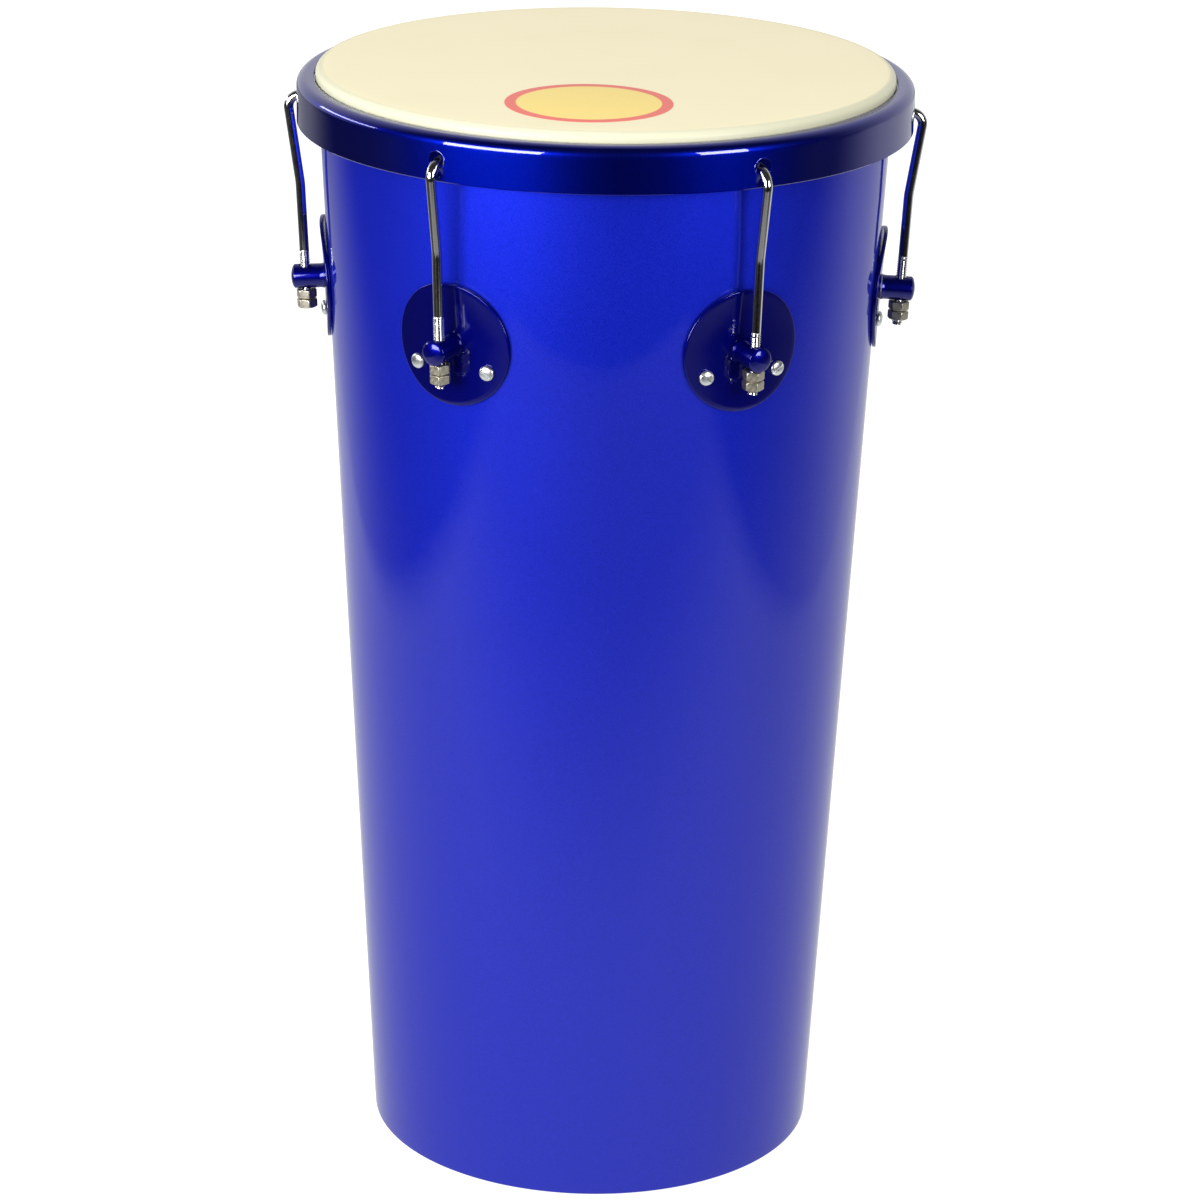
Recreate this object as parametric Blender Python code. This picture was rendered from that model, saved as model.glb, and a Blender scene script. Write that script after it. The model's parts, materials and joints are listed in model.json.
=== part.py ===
"""Rebolo, a conical hand drum of thin metal, built piece by piece at real size.

Metres, +Z up, origin at the centre of the bottom rim, front towards -Y.
The shell narrows downwards. Six lugs stand at 60 degree steps. Each has a round
plate held by two screws, a post, and a bent tension rod whose hooked top sits in
a hole of the counter hoop and whose threaded foot passes down through the post
into two nuts. Turning the nuts draws the counter hoop and the flesh hoop down.
"""

import math

import bmesh
import bpy
from mathutils import Matrix, Vector

# General
FIT = 0.0003
SEGMENTS = 60
SHARP = math.radians(32)

# Shell: a cone of sheet metal, open below, with a rolled bearing edge above
SHELL_HEIGHT = 0.600
SHELL_TOP_R = 0.1524
SHELL_BOTTOM_R = 0.1227
SHELL_WALL = 0.0015
BEAD_R = 0.003
HEM_WIDTH = 0.007
HEM_THICK = 0.0015

# Head: a film stretched over the bearing edge, with its skirt in the flesh hoop
FILM_THICK = 0.0005
SKIRT_DROP = 0.0109

# Flesh hoop: an L-shaped ring whose ledge reaches under the skirt
FLESH_WIDTH = 0.0057
FLESH_HEIGHT = 0.0073
FLESH_CHAMFER = 0.001
LEDGE_WIDTH = 0.0008
LEDGE_THICK = 0.0008

# Counter hoop: sheet metal, flanged inwards over the flesh hoop
HOOP_THICK = 0.0015
HOOP_DEPTH = 0.0241
HOOP_ROUND = 0.005
HOOP_BELOW_EDGE = 0.0044
HOOP_GAP = 0.00255
LIP_CLEAR = 0.00075
HOOP_HOLE_R = 0.0047

# Tension rods
ROD_R = 0.0026
THREAD_R = 0.00295
ROD_STANDOFF = 0.0129
ROD_SEAT = 0.0004
ROD_BELOW_FLESH = 0.0018
ROD_TIP_INSIDE = 0.0081
ROD_CORNER_OUT = 0.0056
ROD_CORNER_DROP = 0.0028
ROD_TOP_BEND = 0.0065
ROD_KNEE_DROP = 0.048
ROD_KNEE_BEND = 0.045
THREAD_SHOWN = 0.010
THREAD_TAIL = 0.0025
ROD_CHAMFER = 0.0006
ROD_CHAMFER_RATIO = 0.78
THREAD_STEP = 0.0003

# Lug plates and posts
LUG_COUNT = 6
LUG_FIRST_DEG = -30.0
LUG_DROP = 0.1165
PLATE_R = 0.0325
PLATE_THICK = 0.002
PLATE_SPRING = 0.0012
PLATE_SPRING_FROM = 0.004
PLATE_SEGMENTS = 32
PLATE_COLUMNS = (-0.024, -0.016, -0.008, 0.0, 0.008, 0.016, 0.024)
PLATE_ROWS = (0.004, 0.018)
POST_R = 0.0065
POST_REACH = 0.0207
POST_DOME = 0.0015
POST_FOOT_R = 0.007
POST_FOOT_LENGTH = 0.0024
ROD_CLEAR = 0.0005

# Tension nuts and lock nuts
NUT_FLATS = 0.010
NUT_HEIGHT = 0.005
NUT_CHAMFER = 0.0012
NUT_CHAMFER_SLOPE = math.radians(30)
NUT_TURNS_DEG = (30, -6, -12, 17, -8, -13)

# Plate screws and their nuts inside the shell, M4
SCREW_R = 0.002
SCREW_HEAD_R = 0.004
SCREW_HEAD_HEIGHT = 0.0024
SCREW_BELOW_POST = 0.012
SCREW_FROM_EDGE = 0.0121
SCREW_HOLE_CLEAR = 0.0004
SCREW_TAIL = 0.0018
SLOT_WIDTH = 0.001
SLOT_DEPTH = 0.0011
SLOT_TURNS_DEG = (12, 138, 140, 35, 80, 20, 60, 155, 100, 45, 170, 115)
INNER_NUT_FLATS = 0.007
INNER_NUT_HEIGHT = 0.0032
INNER_NUT_CLEAR = 0.0003

# Values that follow from the sizes above
TAPER = (SHELL_TOP_R - SHELL_BOTTOM_R) / SHELL_HEIGHT
TILT = math.atan(TAPER)
BEAD_Z = SHELL_HEIGHT - BEAD_R
BEAD_CENTRE_R = SHELL_BOTTOM_R + TAPER * BEAD_Z - BEAD_R
FILM_IN_R = BEAD_CENTRE_R + BEAD_R + FIT
FILM_OUT_R = FILM_IN_R + FILM_THICK
SKIRT_Z = SHELL_HEIGHT - SKIRT_DROP
HOOP_TOP = SHELL_HEIGHT - HOOP_BELOW_EDGE
HOOP_BOTTOM = HOOP_TOP - HOOP_DEPTH
FLESH_IN_R = FILM_OUT_R + FIT
FLESH_OUT_R = FLESH_IN_R + FLESH_WIDTH
FLESH_TOP = HOOP_TOP - HOOP_THICK - FIT
FLESH_BOTTOM = FLESH_TOP - FLESH_HEIGHT
HOOP_R = FLESH_OUT_R + HOOP_GAP + HOOP_THICK
LIP_R = FILM_OUT_R + LIP_CLEAR
LUG_Z = SHELL_HEIGHT - LUG_DROP
ROD_TIP_Z = FLESH_BOTTOM - ROD_BELOW_FLESH - ROD_R
ROD_CORNER_Z = ROD_TIP_Z - ROD_CORNER_DROP
ROD_IN_HOLE_Z = ROD_TIP_Z - ROD_CORNER_DROP * ROD_TIP_INSIDE / (ROD_TIP_INSIDE + ROD_CORNER_OUT)
HOOP_HOLE_Z = ROD_IN_HOLE_Z - ROD_R - ROD_SEAT + HOOP_HOLE_R
PLATE_FACE = FIT + PLATE_THICK
POST_BASE = PLATE_FACE + FIT
TENSION_NUT_DROP = POST_R + FIT + NUT_HEIGHT / 2
LOCK_NUT_DROP = TENSION_NUT_DROP + NUT_HEIGHT + FIT
ROD_END_DROP = LOCK_NUT_DROP + NUT_HEIGHT / 2 + THREAD_TAIL
THREAD_TOP_RISE = POST_R + THREAD_SHOWN
SCREW_Z = LUG_Z - SCREW_BELOW_POST
SCREW_ASIDE = PLATE_R - SCREW_FROM_EDGE
SCREW_SEAT = PLATE_FACE + FIT
UPRIGHT = Matrix.Identity(4)
SCREW_LENGTH = SCREW_SEAT + SHELL_WALL + FIT + INNER_NUT_HEIGHT + SCREW_TAIL


def shell_r(z):
    """Outer radius of the shell at a height."""
    return SHELL_BOTTOM_R + TAPER * z


def arc(centre_r, centre_z, radius, start_deg, end_deg, steps):
    """Points on an arc in the plane of a turned profile, ends included."""
    points = []
    for i in range(steps + 1):
        angle = math.radians(start_deg + (end_deg - start_deg) * i / steps)
        points.append((centre_r + radius * math.cos(angle), centre_z + radius * math.sin(angle)))
    return points


def material(name, colour, roughness, metallic):
    made = bpy.data.materials.new(name)
    made.use_nodes = True
    shader = made.node_tree.nodes["Principled BSDF"]
    shader.inputs["Base Color"].default_value = (*colour, 1.0)
    shader.inputs["Roughness"].default_value = roughness
    shader.inputs["Metallic"].default_value = metallic
    made.diffuse_color = (*colour, 1.0)
    return made


def smooth(mesh):
    mesh.shade_smooth()
    mesh.set_sharp_from_angle(angle=SHARP)
    return mesh


def mesh_from(name, bm):
    bmesh.ops.recalc_face_normals(bm, faces=bm.faces)
    mesh = bpy.data.meshes.new(name)
    bm.to_mesh(mesh)
    bm.free()
    return smooth(mesh)


def turned(name, profile, closed=True, segments=SEGMENTS):
    """Mesh of a profile of (radius, height) points turned about Z.

    An open profile starts and ends on the axis."""
    bm = bmesh.new()
    verts = [bm.verts.new((r, 0.0, z)) for r, z in profile]
    pairs = list(zip(verts, verts[1:]))
    if closed:
        pairs.append((verts[-1], verts[0]))
    edges = [bm.edges.new(pair) for pair in pairs]
    bmesh.ops.spin(
        bm,
        geom=verts + edges,
        cent=(0, 0, 0),
        axis=(0, 0, 1),
        angle=2 * math.pi,
        steps=segments,
        use_merge=True,
    )
    bmesh.ops.remove_doubles(bm, verts=bm.verts, dist=1e-7)
    return mesh_from(name, bm)


def rod_mesh(name, radius, low, high, matrix, segments=16):
    """A plain cylinder from low to high along the matrix's Z."""
    bm = bmesh.new()
    bmesh.ops.create_cone(
        bm,
        cap_ends=True,
        segments=segments,
        radius1=radius,
        radius2=radius,
        depth=high - low,
        matrix=matrix @ Matrix.Translation((0, 0, (low + high) / 2)),
    )
    return mesh_from(name, bm)


def joined(name, meshes):
    bm = bmesh.new()
    for mesh in meshes:
        bm.from_mesh(mesh)
    return mesh_from(name, bm)


def cutter(name, mesh, parent=None):
    """A hidden object that only cuts."""
    made = bpy.data.objects.new(name, mesh)
    bpy.context.scene.collection.objects.link(made)
    made.hide_render = True
    made.display_type = "WIRE"
    made.parent = parent
    return made


def cut(piece, tool, operation="DIFFERENCE"):
    boolean = piece.modifiers.new(tool.name, "BOOLEAN")
    boolean.object = tool
    boolean.operation = operation
    boolean.solver = "EXACT"


def carved(name, mesh, tools):
    """Mesh after cutting with (mesh, operation) tools; the helpers are removed."""
    piece = bpy.data.objects.new(name, mesh)
    bpy.context.scene.collection.objects.link(piece)
    helpers = [piece]
    for i, (tool_mesh, operation) in enumerate(tools):
        tool = cutter(f"{name}_tool_{i}", tool_mesh)
        helpers.append(tool)
        cut(piece, tool, operation)
    bpy.context.view_layer.update()
    graph = bpy.context.evaluated_depsgraph_get()
    result = bpy.data.meshes.new_from_object(piece.evaluated_get(graph))
    for helper in helpers:
        bpy.data.objects.remove(helper)
    return smooth(result)


def place(name, data, finish, parent=None, location=(0, 0, 0), rotation=(0, 0, 0)):
    made = bpy.data.objects.new(name, data)
    bpy.context.scene.collection.objects.link(made)
    if not data.materials:
        data.materials.append(finish)
    made.parent = parent
    made.location = location
    made.rotation_euler = rotation
    return made


def shell_profile():
    """The wall, rolled over at the top into a bead that opens inwards, hemmed at the bottom."""
    inner_bottom = SHELL_BOTTOM_R - SHELL_WALL + TAPER * HEM_THICK
    return (
        [(SHELL_BOTTOM_R, 0.0)]
        + arc(BEAD_CENTRE_R, BEAD_Z, BEAD_R, 0, 180, 6)
        + arc(BEAD_CENTRE_R, BEAD_Z, BEAD_R - SHELL_WALL, 180, 0, 4)
        + [
            (inner_bottom, HEM_THICK),
            (SHELL_BOTTOM_R - HEM_WIDTH, HEM_THICK),
            (SHELL_BOTTOM_R - HEM_WIDTH, 0.0),
        ]
    )


def film_profile():
    """The film from its centre over the bearing edge and down its skirt, and back inside."""
    round_out = BEAD_R + FIT + FILM_THICK
    round_in = BEAD_R + FIT
    return (
        [(0.0, BEAD_Z + round_out)]
        + arc(BEAD_CENTRE_R, BEAD_Z, round_out, 90, 0, 3)
        + [(FILM_OUT_R, SKIRT_Z), (FILM_IN_R, SKIRT_Z)]
        + arc(BEAD_CENTRE_R, BEAD_Z, round_in, 0, 90, 3)
        + [(0.0, BEAD_Z + round_in)]
    )


def flesh_profile():
    ledge_r = FLESH_IN_R - LEDGE_WIDTH
    return [
        (FLESH_IN_R, FLESH_TOP),
        (FLESH_OUT_R - FLESH_CHAMFER, FLESH_TOP),
        (FLESH_OUT_R, FLESH_TOP - FLESH_CHAMFER),
        (FLESH_OUT_R, FLESH_BOTTOM),
        (ledge_r, FLESH_BOTTOM),
        (ledge_r, FLESH_BOTTOM + LEDGE_THICK),
        (FLESH_IN_R, FLESH_BOTTOM + LEDGE_THICK),
    ]


def hoop_profile():
    """The skirt of the counter hoop, its rounded top and its flange with a rounded lip."""
    round_r = HOOP_R - HOOP_ROUND
    round_z = HOOP_TOP - HOOP_ROUND
    half = HOOP_THICK / 2
    return (
        [(HOOP_R, HOOP_BOTTOM)]
        + arc(round_r, round_z, HOOP_ROUND, 0, 90, 4)
        + arc(LIP_R + half, HOOP_TOP - half, half, 90, 270, 3)
        + arc(round_r, round_z, HOOP_ROUND - HOOP_THICK, 90, 0, 2)
        + [(HOOP_R - HOOP_THICK, HOOP_BOTTOM)]
    )


def outward(z, standoff):
    """Point in a lug's frame, standing square off the shell above its outer face at z."""
    return Vector((0, -shell_r(z) - standoff * math.cos(TILT), z - standoff * math.sin(TILT)))


def screw_frame(side):
    """Matrix of a plate screw in its lug's frame: Z points out of the shell, seat at the face."""
    turn = math.asin(side * SCREW_ASIDE / shell_r(SCREW_Z))
    return (
        Matrix.Rotation(turn, 4, "Z")
        @ Matrix.Translation(outward(SCREW_Z, 0.0))
        @ Matrix.Rotation(math.pi / 2 + TILT, 4, "X")
    )


def plate_mesh():
    """A flat disc cut into strips and bent round the shell, sprung off it at the top."""
    bm = bmesh.new()
    bmesh.ops.create_cone(
        bm,
        cap_ends=True,
        segments=PLATE_SEGMENTS,
        radius1=PLATE_R,
        radius2=PLATE_R,
        depth=PLATE_THICK,
        matrix=Matrix.Rotation(math.pi / 2, 4, "X"),
    )
    for x in PLATE_COLUMNS:
        parts = bm.verts[:] + bm.edges[:] + bm.faces[:]
        bmesh.ops.bisect_plane(bm, geom=parts, plane_co=(x, 0, 0), plane_no=(1, 0, 0))
    for z in PLATE_ROWS:
        parts = bm.verts[:] + bm.edges[:] + bm.faces[:]
        bmesh.ops.bisect_plane(bm, geom=parts, plane_co=(0, 0, z), plane_no=(0, 0, 1))
    for vert in bm.verts:
        across, depth, rise = vert.co
        z = LUG_Z + rise
        lift = max(0.0, (rise - PLATE_SPRING_FROM) / (PLATE_R - PLATE_SPRING_FROM)) ** 2
        r = shell_r(z) + FIT + PLATE_THICK / 2 - depth + PLATE_SPRING * lift
        angle = across / shell_r(z)
        vert.co = (r * math.sin(angle), -r * math.cos(angle), z)
    return mesh_from("lug_plate", bm)


def screw_hole_mesh(name, radius, reach):
    holes = []
    for side in (-1, 1):
        holes.append(rod_mesh(name, radius, -reach, reach, screw_frame(side), segments=12))
    return joined(name, holes)


def post_mesh():
    """Round post along +Z from the shell's face: a foot, the body and a domed end."""
    shoulder = POST_REACH - POST_DOME
    dome_r = (POST_R**2 + POST_DOME**2) / (2 * POST_DOME)
    edge_deg = math.degrees(math.acos(POST_R / dome_r))
    profile = [(0.0, POST_REACH)]
    profile += arc(0, POST_REACH - dome_r, dome_r, 90, edge_deg, 3)[1:]
    profile += [
        (POST_R, shoulder - FIT),
        (POST_R, POST_BASE + POST_FOOT_LENGTH),
        (POST_FOOT_R, POST_BASE + POST_FOOT_LENGTH - (POST_FOOT_R - POST_R)),
        (POST_FOOT_R, POST_BASE),
        (0.0, POST_BASE),
    ]
    body = turned("lug_post", profile, closed=False, segments=20)
    across = Matrix.Translation((0, 0, ROD_STANDOFF)) @ Matrix.Rotation(-math.pi / 2, 4, "X")
    bore = rod_mesh("post_bore", THREAD_R + ROD_CLEAR, -2 * POST_R, 2 * POST_R, across)
    return carved("lug_post", body, [(bore, "DIFFERENCE")])


def plain_nut_mesh(name, flats, height, bore_r):
    """Hexagon nut about the origin with flat faces."""
    hexagon = rod_mesh(name, flats / math.sqrt(3), -height / 2, height / 2, UPRIGHT, segments=6)
    bore = rod_mesh(name, bore_r, -height, height, UPRIGHT, segments=8)
    return carved(name, hexagon, [(bore, "DIFFERENCE")])


def nut_mesh(name, flats, height, bore_r, chamfer):
    """Hexagon nut about the origin, its corners chamfered on both faces."""
    corner_r = flats / math.sqrt(3)
    top = height / 2
    shoulder = top - chamfer * math.tan(NUT_CHAMFER_SLOPE)
    profile = [
        (0.0, top),
        (corner_r - chamfer, top),
        (corner_r, shoulder),
        (corner_r, -shoulder),
        (corner_r - chamfer, -top),
        (0.0, -top),
    ]
    round_body = turned(name, profile, closed=False, segments=12)
    hexagon = rod_mesh(name, corner_r, -height, height, UPRIGHT, segments=6)
    bore = rod_mesh(name, bore_r, -height, height, UPRIGHT, segments=12)
    return carved(name, round_body, [(hexagon, "INTERSECT"), (bore, "DIFFERENCE")])


def screw_mesh():
    """Slotted pan-head screw: head above the origin, shank below it."""
    crown = SCREW_HEAD_HEIGHT
    profile = [
        (0.0, crown),
        (SCREW_HEAD_R * 0.62, crown * 0.9),
        (SCREW_HEAD_R * 0.93, crown * 0.6),
        (SCREW_HEAD_R, crown * 0.25),
        (SCREW_HEAD_R, 0.0),
        (SCREW_R, 0.0),
        (SCREW_R, -SCREW_LENGTH + ROD_CHAMFER),
        (SCREW_R - ROD_CHAMFER, -SCREW_LENGTH),
        (0.0, -SCREW_LENGTH),
    ]
    body = turned("plate_screw", profile, closed=False, segments=10)
    bm = bmesh.new()
    size = Matrix.Diagonal((4 * SCREW_HEAD_R, SLOT_WIDTH, 2 * SLOT_DEPTH, 1.0))
    bmesh.ops.create_cube(bm, size=1.0, matrix=Matrix.Translation((0, 0, crown)) @ size)
    slot = mesh_from("screw_slot", bm)
    return carved("plate_screw", body, [(slot, "DIFFERENCE")])


def filleted(corners, bends, steps):
    """A polyline whose inner corners are rounded, each by its own radius and steps."""
    points = [corners[0]]
    for i in range(1, len(corners) - 1):
        if bends[i - 1] == 0:
            points.append(corners[i])
            continue
        back = (corners[i - 1] - corners[i]).normalized()
        on = (corners[i + 1] - corners[i]).normalized()
        half = back.angle(on) / 2
        centre = corners[i] + (back + on).normalized() * (bends[i - 1] / math.sin(half))
        start = (corners[i] + back * (bends[i - 1] / math.tan(half)) - centre).normalized()
        end = (corners[i] + on * (bends[i - 1] / math.tan(half)) - centre).normalized()
        for k in range(steps[i - 1] + 1):
            points.append(centre + start.slerp(end, k / steps[i - 1]) * bends[i - 1])
    points.append(corners[-1])
    return points


def hook_curve():
    """The tension rod: hooked top, straight upper leg, slight knee, threaded lower leg."""
    along = Vector((0, -math.sin(TILT), math.cos(TILT)))
    crossing = outward(LUG_Z, ROD_STANDOFF)
    knee_z = ROD_TIP_Z - ROD_KNEE_DROP
    knee = crossing + along * ((knee_z - crossing.z) / along.z)
    tip = Vector((0, -(HOOP_R - ROD_TIP_INSIDE), ROD_TIP_Z))
    corner = Vector((0, -(HOOP_R + ROD_CORNER_OUT), ROD_CORNER_Z))
    thread_top = crossing + along * THREAD_TOP_RISE
    end = crossing - along * ROD_END_DROP
    plain = filleted([tip, corner, knee, thread_top], (ROD_TOP_BEND, ROD_KNEE_BEND), (6, 3))
    thick = THREAD_R / ROD_R
    points = [(plain[0], ROD_CHAMFER_RATIO)]
    points.append((plain[0].lerp(plain[1], ROD_CHAMFER / (plain[1] - plain[0]).length), 1.0))
    points += [(point, 1.0) for point in plain[1:]]
    points.append((thread_top - along * THREAD_STEP, thick))
    points.append((end + along * ROD_CHAMFER, thick))
    points.append((end, thick * ROD_CHAMFER_RATIO))
    curve = bpy.data.curves.new("hook", "CURVE")
    curve.dimensions = "3D"
    curve.bevel_depth = ROD_R
    curve.bevel_resolution = 3
    curve.use_fill_caps = True
    spline = curve.splines.new("POLY")
    spline.points.add(len(points) - 1)
    for target, (point, radius) in zip(spline.points, points):
        target.co = (*point, 1.0)
        target.radius = radius
    spline.use_smooth = True
    return curve


def build():
    for thing in list(bpy.data.objects):
        bpy.data.objects.remove(thing)
    blue = material("shell_paint", (0.022, 0.02, 0.52), 0.22, 0.6)
    dark_blue = material("hoop_paint", (0.012, 0.01, 0.12), 0.2, 0.5)
    plate_blue = material("lug_paint", (0.008, 0.004, 0.16), 0.2, 0.4)
    cream = material("head_film", (0.9, 0.87, 0.72), 0.45, 0.0)
    bare = material("bare_aluminium", (0.7, 0.7, 0.71), 0.35, 1.0)
    chrome = material("chrome", (0.75, 0.75, 0.76), 0.12, 1.0)
    nickel = material("nut_nickel", (0.5, 0.48, 0.4), 0.4, 1.0)
    zinc = material("screw_zinc", (0.72, 0.75, 0.76), 0.3, 1.0)

    shell = place("shell", turned("shell", shell_profile()), blue)
    place("drumhead", turned("drumhead", film_profile(), closed=False), cream)
    place("flesh_hoop", turned("flesh_hoop", flesh_profile()), bare)
    hoop = place("rim_hoop", turned("rim_hoop", hoop_profile()), dark_blue)

    hole_r = SCREW_R + SCREW_HOLE_CLEAR
    reach = 4 * SHELL_WALL
    plate = carved(
        "lug_plate",
        plate_mesh(),
        [(screw_hole_mesh("plate_holes", hole_r, reach), "DIFFERENCE")],
    )
    post = post_mesh()
    hook = hook_curve()
    nut = nut_mesh("tension_nut", NUT_FLATS, NUT_HEIGHT, THREAD_R + ROD_CLEAR, NUT_CHAMFER)
    screw = screw_mesh()
    inner_bore_r = SCREW_R + INNER_NUT_CLEAR
    inner_nut = plain_nut_mesh("screw_nut", INNER_NUT_FLATS, INNER_NUT_HEIGHT, inner_bore_r)
    shell_holes = screw_hole_mesh("shell_holes", hole_r, reach)
    hoop_way = Matrix.Translation((0, -HOOP_R, HOOP_HOLE_Z)) @ Matrix.Rotation(math.pi / 2, 4, "X")
    hoop_hole = rod_mesh("hoop_hole", HOOP_HOLE_R, -4 * HOOP_THICK, 2 * HOOP_THICK, hoop_way)

    for k in range(LUG_COUNT):
        number = k + 1
        lug = bpy.data.objects.new(f"lug_frame_{number}", None)
        bpy.context.scene.collection.objects.link(lug)
        lug.rotation_euler.z = math.radians(LUG_FIRST_DEG + 360.0 / LUG_COUNT * k)
        cut(shell, cutter(f"shell_holes_{number}", shell_holes, lug))
        cut(hoop, cutter(f"hoop_hole_{number}", hoop_hole, lug))
        place(f"lug_plate_{number}", plate, plate_blue, lug)
        square = (math.pi / 2 + TILT, 0, 0)
        place(f"lug_post_{number}", post, plate_blue, lug, outward(LUG_Z, 0.0), square)
        place(f"hook_{number}", hook, chrome, lug)
        along = Vector((0, -math.sin(TILT), math.cos(TILT)))
        crossing = outward(LUG_Z, ROD_STANDOFF)
        lean = Matrix.Rotation(TILT, 4, "X") @ Matrix.Rotation(math.radians(NUT_TURNS_DEG[k]), 4, "Z")
        for part, drop in (("tension_nut", TENSION_NUT_DROP), ("lock_nut", LOCK_NUT_DROP)):
            turning = place(f"{part}_{number}", nut, nickel, lug)
            turning.matrix_local = Matrix.Translation(crossing - along * drop) @ lean
        for i, side in enumerate((-1, 1)):
            label = f"{number}_{'left' if side < 0 else 'right'}"
            frame = screw_frame(side)
            turn = math.radians(SLOT_TURNS_DEG[2 * k + i])
            head = frame @ Matrix.Translation((0, 0, SCREW_SEAT)) @ Matrix.Rotation(turn, 4, "Z")
            fixed = place(f"plate_screw_{label}", screw, zinc, lug)
            fixed.matrix_local = head
            depth = -SHELL_WALL - FIT - INNER_NUT_HEIGHT / 2
            inside = place(f"screw_nut_{label}", inner_nut, zinc, lug)
            inside.matrix_local = frame @ Matrix.Translation((0, 0, depth))


build()
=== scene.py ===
"""Looks of the rebolo drum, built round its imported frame.

Metres, +Z up, origin at the centre of the bottom rim, front towards -Y. Each
visible piece is a finer mesh that replaces its solid, with a node-based material.
"""

import json
import math

import bmesh
import bpy
from mathutils import Matrix, Vector

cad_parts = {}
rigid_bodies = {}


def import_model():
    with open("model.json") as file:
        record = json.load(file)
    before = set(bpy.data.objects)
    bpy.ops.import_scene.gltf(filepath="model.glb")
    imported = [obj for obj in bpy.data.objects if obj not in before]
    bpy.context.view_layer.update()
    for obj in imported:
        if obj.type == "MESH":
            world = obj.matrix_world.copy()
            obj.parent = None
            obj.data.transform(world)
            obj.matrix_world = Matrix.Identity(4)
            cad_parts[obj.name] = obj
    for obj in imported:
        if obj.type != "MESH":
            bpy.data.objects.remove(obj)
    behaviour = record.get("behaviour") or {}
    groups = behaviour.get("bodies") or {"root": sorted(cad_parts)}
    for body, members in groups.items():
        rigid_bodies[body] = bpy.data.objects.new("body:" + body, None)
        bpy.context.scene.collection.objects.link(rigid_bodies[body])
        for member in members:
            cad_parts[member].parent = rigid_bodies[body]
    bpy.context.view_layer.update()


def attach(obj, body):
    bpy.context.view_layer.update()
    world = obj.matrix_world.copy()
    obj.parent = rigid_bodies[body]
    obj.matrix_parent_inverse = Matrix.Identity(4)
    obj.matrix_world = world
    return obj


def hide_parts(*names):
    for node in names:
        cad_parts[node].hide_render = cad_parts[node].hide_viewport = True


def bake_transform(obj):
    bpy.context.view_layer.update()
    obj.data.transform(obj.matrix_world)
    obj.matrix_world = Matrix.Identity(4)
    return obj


UPRIGHT = Matrix.Identity(4)

# Fineness of the visible meshes
ROUND_STEPS = 240
LABEL_STEPS = 128
PLATE_STEPS = 96
PLATE_RINGS = 12
POST_STEPS = 64
POST_FOOT_STEPS = 8
NUT_STEPS = 96
INNER_NUT_STEPS = 48
SMALL_STEPS = 48
SCREW_CROWN_STEPS = 12
HOLE_STEPS = 24
LIP_SIDES = 8
ROD_SIDES = 24
THREAD_RINGS = 10
SHARP = math.radians(32)

# Gap between pieces that touch
FIT = 0.0003

# Shell, with the heights of the rings on its wall: two low down, two round the screw holes
SHELL_HEIGHT = 0.600
SHELL_TOP_R = 0.1524
SHELL_BOTTOM_R = 0.1227
SHELL_WALL = 0.0015
BEAD_R = 0.003
HEM_WIDTH = 0.007
EDGE_ROUND = 0.0006
WALL_RINGS = (0.004, 0.02, 0.466, 0.477)

# Head and hoops; the hoop's wall has a ring this far above and below its holes: HOOP_HOLE_BAND
FILM_THICK = 0.0005
FILM_RINGS = (0.03, 0.07, 0.11, 0.14)
SKIRT_DROP = 0.0109
SKIRT_RINGS = 5
FLESH_WIDTH = 0.0057
FLESH_HEIGHT = 0.0073
FLESH_CHAMFER = 0.001
LEDGE_WIDTH = 0.0008
LEDGE_THICK = 0.0008
HOOP_THICK = 0.0015
HOOP_DEPTH = 0.0241
HOOP_ROUND = 0.005
HOOP_EDGE = 0.0004
HOOP_BELOW_EDGE = 0.0044
HOOP_GAP = 0.00255
LIP_CLEAR = 0.00075
HOOP_HOLE_R = 0.0047
HOOP_HOLE_BAND = 0.0068
HOLE_LIP_R = 0.0004
HOLE_LIP_FLATNESS = 0.6

# Tension rods; the tuples of six go round the lugs from the front left one
ROD_R = 0.0026
THREAD_R = 0.00295
THREAD_DEPTH = 0.00075
THREAD_END_SHARE = 0.85
PITCH = 0.00127
ROD_STANDOFF = 0.0129
ROD_SEAT = 0.0004
ROD_BELOW_FLESH = 0.0018
ROD_TIP_INSIDE = 0.0081
ROD_CORNER_OUT = 0.0056
ROD_CORNER_DROP = 0.0028
ROD_KNEE_DROP = 0.048
ROD_KNEE_BEND = 0.045
ROD_BEND_STEPS = (20, 10)
ROD_TOP_BENDS = (0.0072, 0.0088, 0.0065, 0.0065, 0.0065, 0.0065)
ROD_RISES = (0.0002, 0.0, -0.0016, 0.0, 0.0, 0.00145)
THREADS_SHOWN = (0.0125, 0.0073, 0.0115, 0.010, 0.0095, 0.0083)
THREAD_TAILS = (0.0025, 0.0028, 0.003, 0.0025, 0.0025, 0.0004)

# Rounding of the rod's tip: distance from its end, share of the rod's radius
ROD_TIP_ROUND = ((0.0, 0.02), (0.0, 0.7), (0.0003, 0.9), (0.0008, 1.0))

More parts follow.
